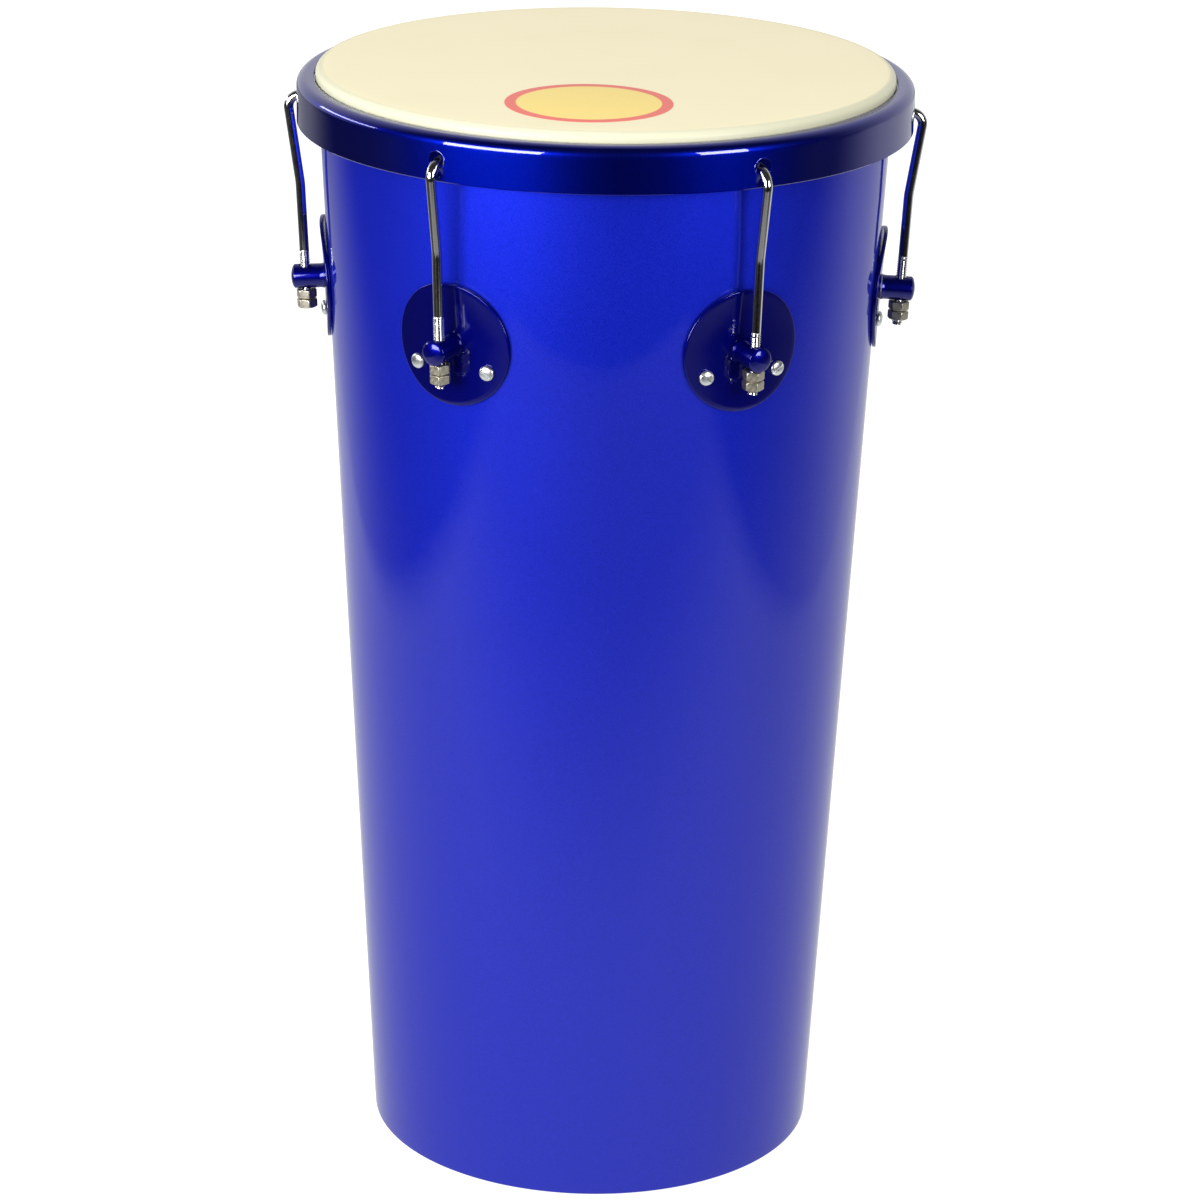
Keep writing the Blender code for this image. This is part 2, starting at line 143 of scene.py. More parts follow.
# Lugs
LUG_COUNT = 6
LUG_FIRST_DEG = -30.0
LUG_DROP = 0.1165
PLATE_R = 0.0325
PLATE_THICK = 0.002
PLATE_EDGE = 0.0005
PLATE_SPRING = 0.0012
PLATE_SPRING_FROM = 0.004
POST_R = 0.0065
POST_REACH = 0.0207
POST_DOME = 0.0015
POST_DOME_SHORT_DEG = 4
POST_EDGE = 0.0005
POST_EDGE_DROP = 0.0006
POST_FOOT_R = 0.007
POST_FOOT_LENGTH = 0.0024
ROD_CLEAR = 0.0005
NUT_FLATS = 0.010
NUT_HEIGHT = 0.005
NUT_CHAMFER = 0.0012
NUT_CHAMFER_SLOPE = math.radians(30)
NUT_CORNER = 0.00012
NUT_SINK = 0.0004
NUT_TURNS_DEG = (30, -6, -12, 17, -8, -13)
SCREW_R = 0.002
SCREW_HEAD_R = 0.004
SCREW_HEAD_HEIGHT = 0.0024
SCREW_HEAD_EDGE = 0.0002
SCREW_RIM_SHARE = 0.25
SCREW_CROWN_POWER = 0.8
SCREW_END_CHAMFER = 0.0006
SCREW_BELOW_POST = 0.012
SCREW_FROM_EDGE = 0.0121
SCREW_HOLE_CLEAR = 0.0004
SCREW_TAIL = 0.0018
SLOT_WIDTH = 0.001
SLOT_DEPTH = 0.0014
SLOT_TURNS_DEG = ((12, 138), (140, 35), (80, 20), (60, 155), (100, 45), (170, 115))
INNER_NUT_FLATS = 0.007
INNER_NUT_HEIGHT = 0.0032
INNER_NUT_CLEAR = 0.0003
INNER_NUT_CHAMFER = 0.0006

# Values that follow
TAPER = (SHELL_TOP_R - SHELL_BOTTOM_R) / SHELL_HEIGHT
TILT = math.atan(TAPER)
BEAD_Z = SHELL_HEIGHT - BEAD_R
BEAD_CENTRE_R = SHELL_BOTTOM_R + TAPER * BEAD_Z - BEAD_R
FILM_IN_R = BEAD_CENTRE_R + BEAD_R + FIT
FILM_OUT_R = FILM_IN_R + FILM_THICK
FILM_TOP = BEAD_Z + BEAD_R + FIT + FILM_THICK
SKIRT_Z = SHELL_HEIGHT - SKIRT_DROP
HOOP_TOP = SHELL_HEIGHT - HOOP_BELOW_EDGE
HOOP_BOTTOM = HOOP_TOP - HOOP_DEPTH
FLESH_IN_R = FILM_OUT_R + FIT
FLESH_OUT_R = FLESH_IN_R + FLESH_WIDTH
FLESH_TOP = HOOP_TOP - HOOP_THICK - FIT
FLESH_BOTTOM = FLESH_TOP - FLESH_HEIGHT
HOOP_R = FLESH_OUT_R + HOOP_GAP + HOOP_THICK
LIP_R = FILM_OUT_R + LIP_CLEAR
LUG_Z = SHELL_HEIGHT - LUG_DROP
ROD_TIP_Z = FLESH_BOTTOM - ROD_BELOW_FLESH - ROD_R
ROD_CORNER_Z = ROD_TIP_Z - ROD_CORNER_DROP
ROD_IN_HOLE_Z = ROD_TIP_Z - ROD_CORNER_DROP * ROD_TIP_INSIDE / (ROD_TIP_INSIDE + ROD_CORNER_OUT)
HOOP_HOLE_Z = ROD_IN_HOLE_Z - ROD_R - ROD_SEAT + HOOP_HOLE_R
PLATE_FACE = FIT + PLATE_THICK
POST_BASE = PLATE_FACE + FIT
TENSION_NUT_DROP = POST_R + FIT + NUT_HEIGHT / 2
LOCK_NUT_DROP = TENSION_NUT_DROP + NUT_HEIGHT + FIT
NUTS_BOTTOM_DROP = LOCK_NUT_DROP + NUT_HEIGHT / 2
SCREW_Z = LUG_Z - SCREW_BELOW_POST
SCREW_ASIDE = PLATE_R - SCREW_FROM_EDGE
SCREW_SEAT = PLATE_FACE + FIT
SCREW_LENGTH = SCREW_SEAT + SHELL_WALL + FIT + INNER_NUT_HEIGHT + SCREW_TAIL
INNER_NUT_DEPTH = SHELL_WALL + FIT + INNER_NUT_HEIGHT / 2

# Label on the head; its edge's rounding is an inset and a share of its thickness
LABEL_PLACE = (-0.0069, -0.0885)
LABEL_R = 0.043
LABEL_THICK = 0.00012
LABEL_LIFT = 0.00002
LABEL_ROUND = ((0.0003, 1.0), (0.00005, 0.8), (0.0, 0.4))
LABEL_BORDER = (0.0371, 0.0373)
LABEL_RED = (0.745, 0.141, 0.106, 1)

# Painted sheen and painted shade: from its rounded edge outwards the film's colour turns paler and darker,
# for a whitish sheen and to hold down the strong lamp light on the front rounding
FILM_SHEEN_FROM = BEAD_CENTRE_R - 0.001
FILM_SHEEN_TO = BEAD_CENTRE_R + 0.002
FILM_SHEEN_COLOUR = (0.572, 0.565, 0.41, 1)

# Floor in reflections: where each change of brightness starts and ends, and the brightness there
FLOOR_R = 6.0
FLOOR_Z = -0.0005
FLOOR_NEAR = ((-0.95, -0.3), (0.25, 0.82))
FLOOR_EDGE = ((-1.36, -1.26), (0.02, 1.0))
FLOOR_MIDDLE = ((0.8, 1.0), (1.0, 0.0))
FLOOR_WIDE = ((-1.3, 0.3), (0.07, 0.9))
FLOOR_LEFT = ((-3.6, -1.4), (0.5, 1.0))

# Weights of x, y and the distance aside in the slanted changes above
FLOOR_WIDE_WEIGHTS = (0.25, 1.0, -0.75)
FLOOR_LEFT_WEIGHTS = (1.0, -1.0)

# Floor as the camera sees it, and as it lights the drum
FLOOR_GLOW = 0.8
FLOOR_SHADE = (0.4, 0.4, 0.4, 1)
FLOOR_BOUNCE = (0.5, 0.5, 0.5, 1)

# World: brightness along y in reflections, and along z for the rest
WORLD_BEHIND = ((-0.1, 0.95), (0.02, 0.8))
WORLD_ABOVE = ((0.0, 1.0), (0.14, 1.33))

# Lamps: name, azimuth and elevation in degrees, size, radiance; then how far off they stand,
# the height that they face, and the watts a square metre needs for a radiance of 1
LAMPS = (
    ("left_panel", -38, 9, (0.8, 0.5), 11.5),
    ("right_panel", 42, 11, (0.38, 0.5), 9.8),
    ("side_strip", -105, 14, (0.8, 0.15), 5.0),
)
LAMP_DISTANCE = 1.25
LAMP_AIM = 0.55
LAMP_WATTS = 4

# Camera, from the fit to the photograph
CAMERA_LENS = 128.69
CAMERA_SENSOR = 36
CAMERA_BACK = 2.2259
CAMERA_HEIGHT = 1.0925
CAMERA_PITCH = 0.34140
CAMERA_ROLL = 0.01609
CAMERA_YAW = 0.00058
CAMERA_AROUND_DEG = 1.0


def shell_r(z):
    return SHELL_BOTTOM_R + TAPER * z


def outward(z, standoff):
    """Point square to the shell's front, at a distance from its wall."""
    return Vector((0, -shell_r(z) - standoff * math.cos(TILT), z - standoff * math.sin(TILT)))


def rod_line():
    """Where a rod crosses its post, and the rod's way up from there."""
    return outward(LUG_Z, ROD_STANDOFF), Vector((0, -math.sin(TILT), math.cos(TILT)))


def once_round(steps):
    """Angles of equal steps round a circle."""
    return [2 * math.pi * i / steps for i in range(steps)]


def arc(centre_r, centre_z, radius, start_deg, end_deg, steps):
    """Points of an arc in a profile of radius and height."""
    points = []
    for i in range(steps + 1):
        angle = math.radians(start_deg + (end_deg - start_deg) * i / steps)
        points.append((centre_r + radius * math.cos(angle), centre_z + radius * math.sin(angle)))
    return points


def smooth(mesh):
    mesh.shade_smooth()
    mesh.set_sharp_from_angle(angle=SHARP)
    return mesh


def mesh_from(name, bm):
    bmesh.ops.recalc_face_normals(bm, faces=bm.faces)
    mesh = bpy.data.meshes.new(name)
    bm.to_mesh(mesh)
    bm.free()
    return smooth(mesh)


def placed(name, data):
    """New object in the scene."""
    made = bpy.data.objects.new(name, data)
    bpy.context.scene.collection.objects.link(made)
    return made


def turned(name, profile, closed=True, segments=ROUND_STEPS):
    """Mesh of a profile of (radius, height) points turned about Z."""
    bm = bmesh.new()
    verts = [bm.verts.new((r, 0.0, z)) for r, z in profile]
    pairs = list(zip(verts, verts[1:]))
    if closed:
        pairs.append((verts[-1], verts[0]))
    edges = [bm.edges.new(pair) for pair in pairs]
    bmesh.ops.spin(
        bm,
        geom=verts + edges,
        cent=(0, 0, 0),
        axis=(0, 0, 1),
        angle=2 * math.pi,
        steps=segments,
        use_merge=True,
    )
    bmesh.ops.remove_doubles(bm, verts=bm.verts, dist=1e-7)
    return mesh_from(name, bm)


def cylinder(name, radius, low, high, matrix, segments=SMALL_STEPS):
    bm = bmesh.new()
    bmesh.ops.create_cone(
        bm,
        cap_ends=True,
        segments=segments,
        radius1=radius,
        radius2=radius,
        depth=high - low,
        matrix=matrix @ Matrix.Translation((0, 0, (low + high) / 2)),
    )
    return mesh_from(name, bm)


def joined(name, meshes):
    bm = bmesh.new()
    for mesh in meshes:
        bm.from_mesh(mesh)
    return mesh_from(name, bm)


def carved(name, mesh, cutter_mesh):
    """Mesh after a cut; the cutter doesn't stay in the scene."""
    piece = placed(name, mesh)
    cutter = placed(f"{name}_cutter", cutter_mesh)
    boolean = piece.modifiers.new(cutter.name, "BOOLEAN")
    boolean.object = cutter
    boolean.operation = "DIFFERENCE"
    boolean.solver = "EXACT"
    bpy.context.view_layer.update()
    graph = bpy.context.evaluated_depsgraph_get()
    result = bpy.data.meshes.new_from_object(piece.evaluated_get(graph))
    for helper in (piece, cutter):
        bpy.data.objects.remove(helper)
    return smooth(result)


def bridge(bm, rows):
    """Faces from each ring of vertices to the next."""
    count = len(rows[0])
    for low, high in zip(rows, rows[1:]):
        for i in range(count):
            j = (i + 1) % count
            bm.faces.new((low[i], low[j], high[j], high[i]))


def wrapped(name, rings, closed=False):
    """Skin over rings of points: closed joins the last ring to the first, open caps both."""
    bm = bmesh.new()
    rows = [[bm.verts.new(point) for point in ring] for ring in rings]
    if closed:
        rows.append(rows[0])
    else:
        bm.faces.new(rows[0])
        bm.faces.new(rows[-1])
    bridge(bm, rows)
    return mesh_from(name, bm)


def shell_profile():
    inner_bottom = SHELL_BOTTOM_R - SHELL_WALL + TAPER * SHELL_WALL
    hem_r = SHELL_BOTTOM_R - HEM_WIDTH
    return (
        arc(SHELL_BOTTOM_R - EDGE_ROUND, EDGE_ROUND, EDGE_ROUND, -90, 0, 4)
        + [(shell_r(z), z) for z in WALL_RINGS]
        + arc(BEAD_CENTRE_R, BEAD_Z, BEAD_R, 0, 180, 16)
        + arc(BEAD_CENTRE_R, BEAD_Z, BEAD_R - SHELL_WALL, 180, 0, 10)
        + [(shell_r(z) - SHELL_WALL, z) for z in reversed(WALL_RINGS[1:])]
        + [(inner_bottom, SHELL_WALL), (hem_r, SHELL_WALL), (hem_r, 0.0)]
    )


def film_profile():
    round_in = BEAD_R + FIT
    round_out = round_in + FILM_THICK
    drop = SKIRT_Z - BEAD_Z
    skirt = [(FILM_OUT_R, BEAD_Z + drop * (k / SKIRT_RINGS)) for k in range(1, SKIRT_RINGS + 1)]
    return (
        [(r, BEAD_Z + round_out) for r in (0.0, *FILM_RINGS)]
        + arc(BEAD_CENTRE_R, BEAD_Z, round_out, 90, 0, 10)
        + skirt
        + [(FILM_IN_R, z) for r, z in reversed(skirt)]
        + arc(BEAD_CENTRE_R, BEAD_Z, round_in, 0, 90, 10)
        + [(r, BEAD_Z + round_in) for r in (*reversed(FILM_RINGS), 0.0)]
    )


def flesh_profile():
    ledge_r = FLESH_IN_R - LEDGE_WIDTH
    return [
        (FLESH_IN_R, FLESH_TOP),
        (FLESH_OUT_R - FLESH_CHAMFER, FLESH_TOP),
        (FLESH_OUT_R, FLESH_TOP - FLESH_CHAMFER),
        (FLESH_OUT_R, FLESH_BOTTOM),
        (ledge_r, FLESH_BOTTOM),
        (ledge_r, FLESH_BOTTOM + LEDGE_THICK),
        (FLESH_IN_R, FLESH_BOTTOM + LEDGE_THICK),
    ]


def hoop_profile():
    inside = HOOP_R - HOOP_THICK
    round_r = HOOP_R - HOOP_ROUND
    round_z = HOOP_TOP - HOOP_ROUND
    half = HOOP_THICK / 2
    below_holes = HOOP_HOLE_Z - HOOP_HOLE_BAND
    above_holes = HOOP_HOLE_Z + HOOP_HOLE_BAND
    return (
        [(HOOP_R - HOOP_EDGE, HOOP_BOTTOM), (HOOP_R, HOOP_BOTTOM + HOOP_EDGE)]
        + [(HOOP_R, below_holes), (HOOP_R, above_holes)]
        + arc(round_r, round_z, HOOP_ROUND, 0, 90, 12)
        + arc(LIP_R + half, HOOP_TOP - half, half, 90, 270, 10)
        + arc(round_r, round_z, HOOP_ROUND - HOOP_THICK, 90, 0, 8)
        + [(inside, above_holes), (inside, below_holes)]
        + [(inside, HOOP_BOTTOM + HOOP_EDGE), (inside + HOOP_EDGE, HOOP_BOTTOM)]
    )


def screw_frame(side):
    """Place of a plate screw on the shell's wall: -1 left of the post, 1 right of it."""
    turn = math.asin(side * SCREW_ASIDE / shell_r(SCREW_Z))
    return (
        Matrix.Rotation(turn, 4, "Z")
        @ Matrix.Translation(outward(SCREW_Z, 0.0))
        @ Matrix.Rotation(math.pi / 2 + TILT, 4, "X")
    )


def screw_holes(name):
    """Cutters for the left and right screw of a lug."""
    reach = 4 * SHELL_WALL
    radius = SCREW_R + SCREW_HOLE_CLEAR
    return [cylinder(name, radius, -reach, reach, screw_frame(s), HOLE_STEPS) for s in (-1, 1)]


def plate_mesh():
    """Round plate with a softened edge, bent round the shell and sprung off it at the top."""
    half = PLATE_THICK / 2
    outline = [(PLATE_R * k / PLATE_RINGS, half) for k in range(1, PLATE_RINGS)]
    outline += arc(PLATE_R - PLATE_EDGE, half - PLATE_EDGE, PLATE_EDGE, 90, 0, 4)
    outline += [(r, -z) for r, z in reversed(outline)]
    bm = bmesh.new()
    rows = []
    for r, z in outline:
        ring = [(r * math.cos(a), -z, r * math.sin(a)) for a in once_round(PLATE_STEPS)]
        rows.append([bm.verts.new(point) for point in ring])
    bridge(bm, rows)
    for row, z in ((rows[0], half), (rows[-1], -half)):
        centre = bm.verts.new((0, -z, 0))
        for i in range(PLATE_STEPS):
            bm.faces.new((row[i], row[(i + 1) % PLATE_STEPS], centre))
    for vert in bm.verts:
        across, depth, rise = vert.co
        z = LUG_Z + rise
        lift = max(0.0, (rise - PLATE_SPRING_FROM) / (PLATE_R - PLATE_SPRING_FROM)) ** 2
        r = shell_r(z) + FIT + half - depth + PLATE_SPRING * lift
        angle = across / shell_r(z)
        vert.co = (r * math.sin(angle), -r * math.cos(angle), z)
    return mesh_from("plate", bm)


def post_mesh():
    """Round post with a flared foot and a domed end, bored through for the rod."""
    shoulder = POST_REACH - POST_DOME
    dome_r = (POST_R**2 + POST_DOME**2) / (2 * POST_DOME)
    dome_end_deg = math.degrees(math.acos(POST_R / dome_r)) + POST_DOME_SHORT_DEG
    foot_top = POST_BASE + POST_FOOT_LENGTH
    profile = [(0.0, POST_REACH)]
    profile += arc(0, POST_REACH - dome_r, dome_r, 90, dome_end_deg, 8)[1:]
    profile += arc(POST_R - POST_EDGE, shoulder - POST_EDGE_DROP, POST_EDGE, 60, 0, 4)
    for i in range(POST_FOOT_STEPS + 1):
        down = i / POST_FOOT_STEPS
        r = POST_R + (POST_FOOT_R - POST_R) * down**2
        profile.append((r, foot_top + (POST_BASE - foot_top) * down))
    profile.append((0.0, POST_BASE))
    body = turned("post", profile, closed=False, segments=POST_STEPS)
    across = Matrix.Translation((0, 0, ROD_STANDOFF)) @ Matrix.Rotation(-math.pi / 2, 4, "X")
    bore = cylinder("post_bore", THREAD_R + ROD_CLEAR, -2 * POST_R, 2 * POST_R, across)
    return carved("post", body, bore)


def nut_mesh(name, flats, height, bore_r, chamfer, steps):
    """Hexagon nut: corners cut by a cone on each face, and a countersunk bore."""
    half = height / 2
    corner_r = flats / math.sqrt(3)
    slope = math.tan(NUT_CHAMFER_SLOPE)
    rises = [-half + chamfer * slope * share for share in (0.0, 0.03, 0.15, 0.35, 0.6, 0.8, 1.0)]
    rises += [-z for z in reversed(rises)]
    bore = [(half, bore_r + NUT_SINK), (half - NUT_SINK, bore_r)]
    bore += [(-z, r) for z, r in reversed(bore)]

    def outer(angle, z):
        within = (angle + math.pi / 6) % (math.pi / 3) - math.pi / 6
        hexagon = min(flats / 2 / math.cos(within), corner_r - NUT_CORNER)
        cone = corner_r - chamfer + (half - abs(z)) / slope
        return min(hexagon, cone)

    angles = once_round(steps)
    rings = [[(r * math.cos(a), r * math.sin(a), z) for a in angles] for z, r in bore]
    for z in rises:
        rings.append([(outer(a, z) * math.cos(a), outer(a, z) * math.sin(a), z) for a in angles])
    return wrapped(name, rings, closed=True)


def screw_mesh():
    """Pan-head screw with a slot; its seat is at the origin."""
    profile = [(0.0, SCREW_HEAD_HEIGHT)]
    for k in range(1, SCREW_CROWN_STEPS + 1):
        angle = math.radians(90 * k / SCREW_CROWN_STEPS)
        share = SCREW_RIM_SHARE + (1 - SCREW_RIM_SHARE) * math.cos(angle) ** SCREW_CROWN_POWER
        profile.append((SCREW_HEAD_R * math.sin(angle), SCREW_HEAD_HEIGHT * share))
    profile += [
        (SCREW_HEAD_R, SCREW_HEAD_EDGE),
        (SCREW_HEAD_R - SCREW_HEAD_EDGE, 0.0),
        (SCREW_R, 0.0),
        (SCREW_R, -SCREW_LENGTH + SCREW_END_CHAMFER),
        (SCREW_R - SCREW_END_CHAMFER, -SCREW_LENGTH),
        (0.0, -SCREW_LENGTH),
    ]
    body = turned("screw", profile, closed=False, segments=SMALL_STEPS)
    bm = bmesh.new()
    size = Matrix.Diagonal((4 * SCREW_HEAD_R, SLOT_WIDTH, 2 * SLOT_DEPTH, 1.0))
    place = Matrix.Translation((0, 0, SCREW_HEAD_HEIGHT))
    bmesh.ops.create_cube(bm, size=1.0, matrix=place @ size)
    return carved("screw", body, mesh_from("screw_slot", bm))


def lip_mesh():
    """Bead of paint round a hole in the hoop."""
    rings = []
    for t in once_round(SMALL_STEPS):
        ring = []
        for a in once_round(LIP_SIDES):
            reach = HOOP_HOLE_R + HOLE_LIP_R * math.cos(a)
            out = HOOP_R + HOLE_LIP_R * math.sin(a) * HOLE_LIP_FLATNESS
            azimuth = reach * math.cos(t) / HOOP_R
            height = HOOP_HOLE_Z + reach * math.sin(t)
            ring.append((out * math.sin(azimuth), -out * math.cos(azimuth), height))
        rings.append(ring)
    return wrapped("hole_lip", rings, closed=True)


def filleted(corners, bends, steps):
    """Points of a path whose inner corners are rounded to the radii of their bends."""
    points = [corners[0]]
    for i, (bend, count) in enumerate(zip(bends, steps), start=1):
        back = (corners[i - 1] - corners[i]).normalized()
        on = (corners[i + 1] - corners[i]).normalized()
        half = back.angle(on) / 2
        centre = corners[i] + (back + on).normalized() * (bend / math.sin(half))
        start = (corners[i] + back * (bend / math.tan(half)) - centre).normalized()
        end = (corners[i] + on * (bend / math.tan(half)) - centre).normalized()
        for k in range(count + 1):
            points.append(centre + start.slerp(end, k / count) * bend)
    points.append(corners[-1])
    return points


def ring_at(centre, run, radii):
    """Points round a rod's centre, square to its run."""
    side = Vector((1, 0, 0))
    up = side.cross(run)
    turns = once_round(len(radii))
    return [centre + (side * math.cos(a) + up * math.sin(a)) * r for a, r in zip(turns, radii)]


def thread_radii(s, length):
    """Radii round the thread at a run s along it: a ridge climbs one pitch a turn."""
    grown = min(1.0, s / (2 * PITCH))
    tail = min(1.0, (length - s) / THREAD_DEPTH)
    narrowed = THREAD_END_SHARE + (1 - THREAD_END_SHARE) * tail
    radii = []
    for k in range(ROD_SIDES):
        phase = (s / PITCH - k / ROD_SIDES) % 1.0
        groove = abs(2 * phase - 1)
        r = ROD_R + (THREAD_R - ROD_R) * grown - THREAD_DEPTH * grown * groove
        radii.append(r * narrowed)
    return radii


def hook_mesh(shown, tail, rise, top_bend):
    """Tension rod with a real thread: shown above the post and a tail below the nuts."""
    crossing, along = rod_line()
    knee = crossing + along * ((ROD_TIP_Z - ROD_KNEE_DROP - crossing.z) / along.z)
    tip = Vector((0, -(HOOP_R - ROD_TIP_INSIDE), ROD_TIP_Z + rise))
    corner = Vector((0, -(HOOP_R + ROD_CORNER_OUT), ROD_CORNER_Z + rise))
    thread_top = crossing + along * (POST_R + shown)
    end = crossing - along * (NUTS_BOTTOM_DROP + tail)
    path = filleted([tip, corner, knee, thread_top], (top_bend, ROD_KNEE_BEND), ROD_BEND_STEPS)
    first = (path[1] - path[0]).normalized()
    rings = []
    for inset, share in ROD_TIP_ROUND:
        rings.append(ring_at(path[0] + first * inset, first, [ROD_R * share] * ROD_SIDES))
    for before, here, after in zip(path, path[1:], path[2:] + path[-1:]):
        rings.append(ring_at(here, (after - before).normalized(), [ROD_R] * ROD_SIDES))
    length = (end - thread_top).length
    steps = int(length / PITCH * THREAD_RINGS)
    for i in range(1, steps + 1):
        s = length * i / steps
        rings.append(ring_at(thread_top - along * s, -along, thread_radii(s, length)))
    return wrapped("rod", rings)


def new_material(name):
    """Material, its node tree and its shader."""
    made = bpy.data.materials.new(name)
    made.use_nodes = True
    return made, made.node_tree, made.node_tree.nodes["Principled BSDF"]


def feed(tree, source, socket):
    """Gives a socket another node's output, or a plain value."""
    if isinstance(source, bpy.types.NodeSocket):
        tree.links.new(source, socket)
    else:
        socket.default_value = source


def noise(tree, scale, detail):
    """Cloudy pattern in the piece's own metres."""
    where = tree.nodes.new("ShaderNodeTexCoord")
    made = tree.nodes.new("ShaderNodeTexNoise")
    made.inputs["Scale"].default_value = scale
    made.inputs["Detail"].default_value = detail
    tree.links.new(where.outputs["Object"], made.inputs["Vector"])
    return made.outputs["Fac"]


def ramp(tree, source, *stops):
    """Colour between two stops, each a position and its colour."""
    made = tree.nodes.new("ShaderNodeValToRGB")
    for element, (position, colour) in zip(made.color_ramp.elements, stops):
        element.position = position
        element.color = (*colour, 1)
    tree.links.new(source, made.inputs["Fac"])
    return made.outputs["Color"]


def ranged(tree, source, span, values, eased=True):
    """Value that goes from the first to the second as the source crosses the span."""
    made = tree.nodes.new("ShaderNodeMapRange")
    if eased:
        made.interpolation_type = "SMOOTHSTEP"
    made.inputs["From Min"].default_value, made.inputs["From Max"].default_value = span
    made.inputs["To Min"].default_value, made.inputs["To Max"].default_value = values
    tree.links.new(source, made.inputs["Value"])
    return made.outputs["Result"]


def combined(tree, operation, *terms):
    """Result of a sum on outputs or plain values."""
    made = tree.nodes.new("ShaderNodeMath")
    made.operation = operation
    for term, socket in zip(terms, made.inputs):
        feed(tree, term, socket)
    return made.outputs["Value"]


def weighed(tree, sources, weights):
    """Sum of the sources, each times its weight."""
    total, *rest = [combined(tree, "MULTIPLY", *pair) for pair in zip(sources, weights)]
    for term in rest:
        total = combined(tree, "ADD", total, term)
    return total


def mixed(tree, kind, factor, first, second):
    """First value or colour at a factor of 0, second at 1."""
    made = tree.nodes.new("ShaderNodeMix")
    made.data_type = kind
    tree.links.new(factor, made.inputs["Factor"])
    feed(tree, first, made.inputs["A"])
    feed(tree, second, made.inputs["B"])
    return made.outputs["Result"]


def mixed_shader(tree, factor, first, second):
    made = tree.nodes.new("ShaderNodeMixShader")
    for source, socket in zip((factor, first, second), made.inputs):
        tree.links.new(source, socket)
    return made.outputs["Shader"]


def bump(tree, socket, height, strength, distance):
    made = tree.nodes.new("ShaderNodeBump")
    made.inputs["Strength"].default_value = strength
    made.inputs["Distance"].default_value = distance
    tree.links.new(height, made.inputs["Height"])
    tree.links.new(made.outputs["Normal"], socket)


def uneven(tree, socket, pattern, value, share):
    """Value that varies by a share of itself with the pattern."""
    values = (value * (1 - share), value * (1 + share))
    tree.links.new(ranged(tree, pattern, (0.0, 1.0), values, eased=False), socket)


def away(tree):
    """Distance from the piece's own upright axis."""
    where = tree.nodes.new("ShaderNodeTexCoord")
    flat = tree.nodes.new("ShaderNodeVectorMath")
    flat.operation = "MULTIPLY"
    flat.inputs[1].default_value = (1, 1, 0)
    tree.links.new(where.outputs["Object"], flat.inputs[0])
    length = tree.nodes.new("ShaderNodeVectorMath")
    length.operation = "LENGTH"
    tree.links.new(flat.outputs["Vector"], length.inputs[0])
    return length.outputs["Value"]


def lacquer(name, colour, flake, metallic, roughness, coat, coat_ior=1.5, coat_roughness=0.04):
    """Metallic base under clear lacquer: fine flake in the colour, faint waviness in the coat."""
    made, tree, shader = new_material(name)
    shader.inputs["Metallic"].default_value = metallic
    shader.inputs["Specular IOR Level"].default_value = 0.1
    shader.inputs["Specular Tint"].default_value = (0.1, 0.2, 0.5, 1)
    shader.inputs["Coat Weight"].default_value = coat
    shader.inputs["Coat IOR"].default_value = coat_ior
    shader.inputs["Coat Roughness"].default_value = coat_roughness
    speck = noise(tree, scale=2600, detail=1.0)
    cloud = noise(tree, scale=14, detail=3.0)
    wave = noise(tree, scale=55, detail=2.0)
    tree.links.new(ramp(tree, speck, (0.35, colour), (0.65, flake)), shader.inputs["Base Color"])
    uneven(tree, shader.inputs["Roughness"], cloud, roughness, share=0.15)
    bump(tree, shader.inputs["Normal"], speck, strength=0.12, distance=0.00003)
    bump(tree, shader.inputs["Coat Normal"], wave, strength=0.25, distance=0.0002)
    return made


def metal(name, colour, roughness, scale, wear=0.86):
    """Bare or plated metal, with a fine grain in its colour, its gloss and its surface."""
    made, tree, shader = new_material(name)
    shader.inputs["Metallic"].default_value = 1.0
    grain = noise(tree, scale, detail=3.0)
    worn = tuple(c * wear for c in colour)
    tree.links.new(ramp(tree, grain, (0.3, worn), (0.7, colour)), shader.inputs["Base Color"])
    uneven(tree, shader.inputs["Roughness"], grain, roughness, share=0.3)
    bump(tree, shader.inputs["Normal"], grain, strength=0.1, distance=0.00005)
    return made


def paper_material():
    """Plain yellow paper with a plain red border."""
    made, tree, shader = new_material("label_paper")
    fibre = noise(tree, scale=1200, detail=4.0)
    yellow = ramp(tree, fibre, (0.3, (0.815, 0.62, 0.16)), (0.7, (0.86, 0.665, 0.19)))
    border = ranged(tree, away(tree), LABEL_BORDER, (0.0, 1.0))
    tree.links.new(mixed(tree, "RGBA", border, yellow, LABEL_RED), shader.inputs["Base Color"])
    shader.inputs["Roughness"].default_value = 0.45
    bump(tree, shader.inputs["Normal"], fibre, strength=0.1, distance=0.00005)
    return made


def film_material():
    """Cream film, cloudy and finely grained, with a painted sheen and painted shade on its rounded edge and
    skirt: a paler, darker colour there.
    """
    made, tree, shader = new_material("head_film")
    cloud = noise(tree, scale=22, detail=4.0)
    cream = ramp(tree, cloud, (0.35, (0.805, 0.738, 0.482)), (0.65, (0.825, 0.746, 0.502)))
    # Painted sheen and painted shade: a paler, darker colour from the rounded edge outwards
    sheen_mask = ranged(tree, away(tree), (FILM_SHEEN_FROM, FILM_SHEEN_TO), (0.0, 1.0))
    tree.links.new(mixed(tree, "RGBA", sheen_mask, cream, FILM_SHEEN_COLOUR), shader.inputs["Base Color"])
    shader.inputs["Roughness"].default_value = 0.42
    shader.inputs["Specular IOR Level"].default_value = 0.4
    fine = noise(tree, scale=900, detail=3.0)
    bump(tree, shader.inputs["Normal"], fine, strength=0.15, distance=0.0001)
    return made


